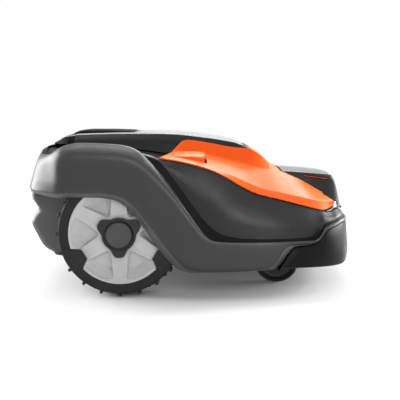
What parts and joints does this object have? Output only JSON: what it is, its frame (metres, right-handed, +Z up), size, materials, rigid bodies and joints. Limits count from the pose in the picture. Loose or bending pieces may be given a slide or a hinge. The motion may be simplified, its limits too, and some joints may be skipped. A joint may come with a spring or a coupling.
{
  "type": "robotic lawn mower",
  "caption": "Robotic lawn mower with a floating fendered body, orange top cover, lugged drive wheels, swivel casters, a hinged hatch over its controls and a disc of pivoting blades.",
  "frame": {"origin": "on the ground under the middle of the body's length and width", "axes": "+X forward, +Y to the mower's left, +Z up"},
  "size_m": [0.72, 0.5598, 0.332],
  "materials": {
    "body_grey": "fine texture",
    "orange": "gloss",
    "bumper_black": "soft satin",
    "dark_trim": "satin",
    "hatch_silver": "satin",
    "smoked_lens": "gloss",
    "dark_plastic": "satin",
    "rubber": "matt",
    "tyre": "matt",
    "rim_grey": "satin",
    "steel": "bare",
    "brass": "bare",
    "board_green": "solder resist"
  },
  "bodies": {
    "chassis": {"chassis_lower": "dark_plastic", "chassis_seal": "rubber", "chassis_upper": "dark_plastic", "chassis_tail": "body_grey", "control_console": "dark_plastic", "display": "smoked_lens", "wheel_motor_left": "steel", "wheel_motor_right": "steel", "height_motor": "steel", "battery_pack": "dark_plastic", "circuit_board": "board_green", "caster_bush_left": "brass", "caster_bush_right": "brass", "charging_contact_left": "brass", "charging_contact_right": "brass", "float_pillar_front_left": "rubber", "float_pillar_front_right": "rubber", "float_pillar_rear_left": "rubber", "float_pillar_rear_right": "rubber"},
    "floating_body": {"body_shell": "body_grey", "top_panel": "orange", "front_bumper": "bumper_black", "nose_cover": "dark_trim", "headlight_left": "smoked_lens", "headlight_right": "smoked_lens", "spine_frame": "dark_trim", "hatch_pin": "steel"},
    "hatch_lid": {"hatch": "hatch_silver"},
    "stop_key": {"stop_button": "dark_trim"},
    "power_key": {"power_button": "rubber"},
    "start_key": {"start_button": "orange"},
    "wheel_right": {"rear_tyre_right": "tyre", "rear_rim_right": "rim_grey", "wheel_hub_right": "dark_plastic", "hub_cap_right": "dark_plastic", "drive_shaft_right": "steel"},
    "wheel_left": {"rear_tyre_left": "tyre", "rear_rim_left": "rim_grey", "wheel_hub_left": "dark_plastic", "hub_cap_left": "dark_plastic", "drive_shaft_left": "steel"},
    "caster_right": {"caster_fork_right": "dark_plastic", "caster_axle_right": "steel"},
    "caster_left": {"caster_fork_left": "dark_plastic", "caster_axle_left": "steel"},
    "roller_right": {"caster_wheel_right": "dark_plastic", "caster_tyre_right": "tyre"},
    "roller_left": {"caster_wheel_left": "dark_plastic", "caster_tyre_left": "tyre"},
    "cutting_unit": {"cutting_motor": "dark_plastic"},
    "screw": {"lead_screw": "steel"},
    "cutter": {"cutter_shaft": "steel", "cutting_disc": "dark_plastic", "blade_screw_1": "steel", "blade_screw_2": "steel", "blade_screw_3": "steel"},
    "razor_1": {"blade_1": "steel"},
    "razor_2": {"blade_2": "steel"},
    "razor_3": {"blade_3": "steel"},
    "skid": {"skid_plate": "dark_plastic"}
  },
  "joints": [
    {"name": "body_float", "type": "slide", "parent": "chassis", "child": "floating_body", "axis": [1, 0, 0], "range_m": [-0.006, 0.006], "stiffness_N_per_m": 4000},
    {"name": "hatch_hinge", "type": "hinge", "parent": "floating_body", "child": "hatch_lid", "pos_m": [0.09, 0, 0.29294], "axis": [0, 1, 0], "range_deg": [0, 75]},
    {"name": "stop_press", "type": "slide", "parent": "floating_body", "child": "stop_key", "axis": [0, 0, -1], "range_m": [0, 0.005], "stiffness_N_per_m": 1200, "springref_m": -0.002},
    {"name": "power_press", "type": "slide", "parent": "chassis", "child": "power_key", "axis": [0, 0, -1], "range_m": [0, 0.002], "stiffness_N_per_m": 600, "springref_m": -0.001},
    {"name": "start_press", "type": "slide", "parent": "chassis", "child": "start_key", "axis": [0, 0, -1], "range_m": [0, 0.002], "stiffness_N_per_m": 600, "springref_m": -0.001},
    {"name": "wheel_spin_right", "type": "hinge", "parent": "chassis", "child": "wheel_right", "pos_m": [-0.156, -0.228, 0.13], "axis": [0, 1, 0], "continuous": true},
    {"name": "wheel_spin_left", "type": "hinge", "parent": "chassis", "child": "wheel_left", "pos_m": [-0.156, 0.228, 0.13], "axis": [0, 1, 0], "continuous": true},
    {"name": "caster_swivel_right", "type": "hinge", "parent": "chassis", "child": "caster_right", "pos_m": [0.21, -0.13, 0.13], "axis": [0, 0, 1], "continuous": true},
    {"name": "caster_swivel_left", "type": "hinge", "parent": "chassis", "child": "caster_left", "pos_m": [0.21, 0.13, 0.13], "axis": [0, 0, 1], "continuous": true},
    {"name": "roller_spin_right", "type": "hinge", "parent": "caster_right", "child": "roller_right", "pos_m": [0.176, -0.13, 0.049], "axis": [0, 1, 0], "continuous": true},
    {"name": "roller_spin_left", "type": "hinge", "parent": "caster_left", "child": "roller_left", "pos_m": [0.176, 0.13, 0.049], "axis": [0, 1, 0], "continuous": true},
    {"name": "cutting_height", "type": "slide", "parent": "chassis", "child": "cutting_unit", "axis": [0, 0, 1], "range_m": [-0.02, 0.02]},
    {"name": "screw_turn", "type": "hinge", "parent": "chassis", "child": "screw", "pos_m": [-0.04, 0, 0.13], "axis": [0, 0, 1], "range_deg": [-1801, 1801]},
    {"name": "disc_spin", "type": "hinge", "parent": "cutting_unit", "child": "cutter", "pos_m": [0.028, 0, 0.045], "axis": [0, 0, 1], "continuous": true},
    {"name": "blade_swing_1", "type": "hinge", "parent": "cutter", "child": "razor_1", "pos_m": [0.12, 0, 0.041], "axis": [0, 0, 1], "continuous": true},
    {"name": "blade_swing_2", "type": "hinge", "parent": "cutter", "child": "razor_2", "pos_m": [-0.018, 0.07967, 0.041], "axis": [0, 0, 1], "continuous": true},
    {"name": "blade_swing_3", "type": "hinge", "parent": "cutter", "child": "razor_3", "pos_m": [-0.018, -0.07967, 0.041], "axis": [0, 0, 1], "continuous": true},
    {"name": "skid_spin", "type": "hinge", "parent": "cutter", "child": "skid", "pos_m": [0.028, 0, 0.03], "axis": [0, 0, 1], "continuous": true}
  ],
  "couplings": [
    {"joint": "screw_turn", "follows": "cutting_height", "rad_per_m": 1570.8}
  ]
}
